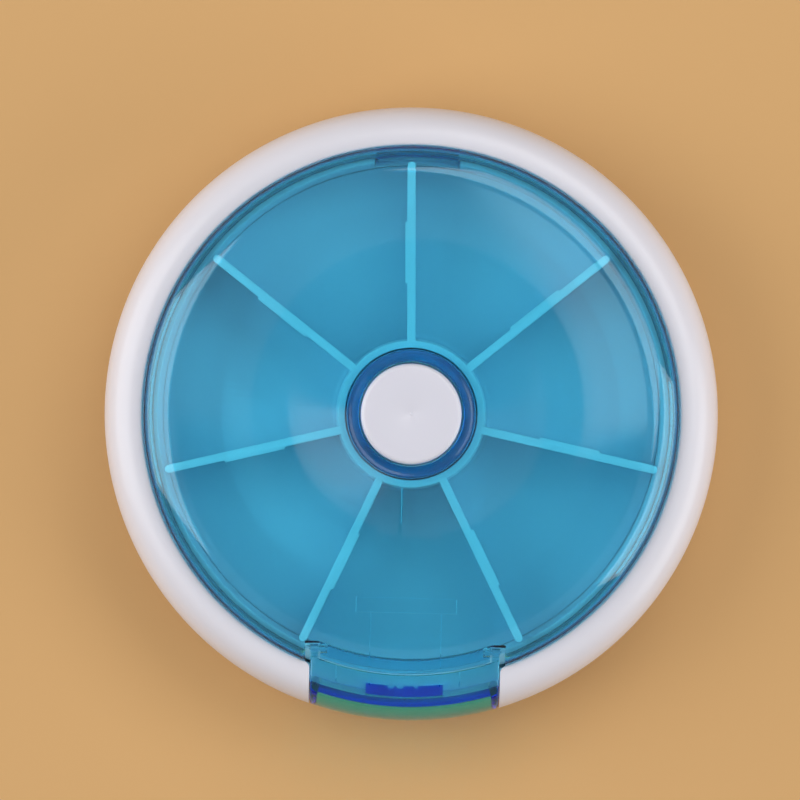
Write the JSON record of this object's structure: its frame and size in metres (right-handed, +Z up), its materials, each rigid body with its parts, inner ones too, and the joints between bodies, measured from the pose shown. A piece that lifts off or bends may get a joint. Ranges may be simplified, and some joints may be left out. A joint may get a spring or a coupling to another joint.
{
  "type": "rotary pill dispenser",
  "caption": "Round pill box with a clear lid, a turning wheel of wedge-shaped bays, a centre push button and a flip-up hatch at the rim.",
  "frame": {"origin": "middle of the foot ring, on the surface that the box stands on", "axes": "+Z up along the wheel's axis; the hatch is towards -Y"},
  "size_m": [0.09, 0.09, 0.024],
  "materials": {
    "white_abs": "glossy moulded ABS",
    "clear_blue_styrene": "polished clear blue styrene",
    "white_polypropylene": "satin moulded polypropylene",
    "natural_acetal": "satin moulded acetal",
    "spring_steel": "drawn spring wire"
  },
  "bodies": {
    "casing": {"base_pan": "white_abs", "rim_ring": "white_abs", "clear_lid": "clear_blue_styrene", "button_spring": "spring_steel", "click_ring": "natural_acetal"},
    "wheel": {"pill_wheel": "white_polypropylene"},
    "button": {"push_button": "white_abs", "drive_cam": "natural_acetal"},
    "hatch": {"hatch_door": "clear_blue_styrene"}
  },
  "joints": [
    {"name": "wheel_turn", "type": "hinge", "parent": "casing", "child": "wheel", "pos_m": [0, 0, 0.0046], "axis": [0, 0, 1], "continuous": true},
    {"name": "button_press", "type": "slide", "parent": "casing", "child": "button", "axis": [0, 0, -1], "range_m": [0, 0.0025], "stiffness_N_per_m": 300, "springref_m": -0.002, "deforming": ["button_spring"]},
    {"name": "hatch_flip", "type": "hinge", "parent": "casing", "child": "hatch", "pos_m": [0, -0.0343, 0.0199], "axis": [-1, 0, 0], "range_deg": [0, 95]}
  ]
}
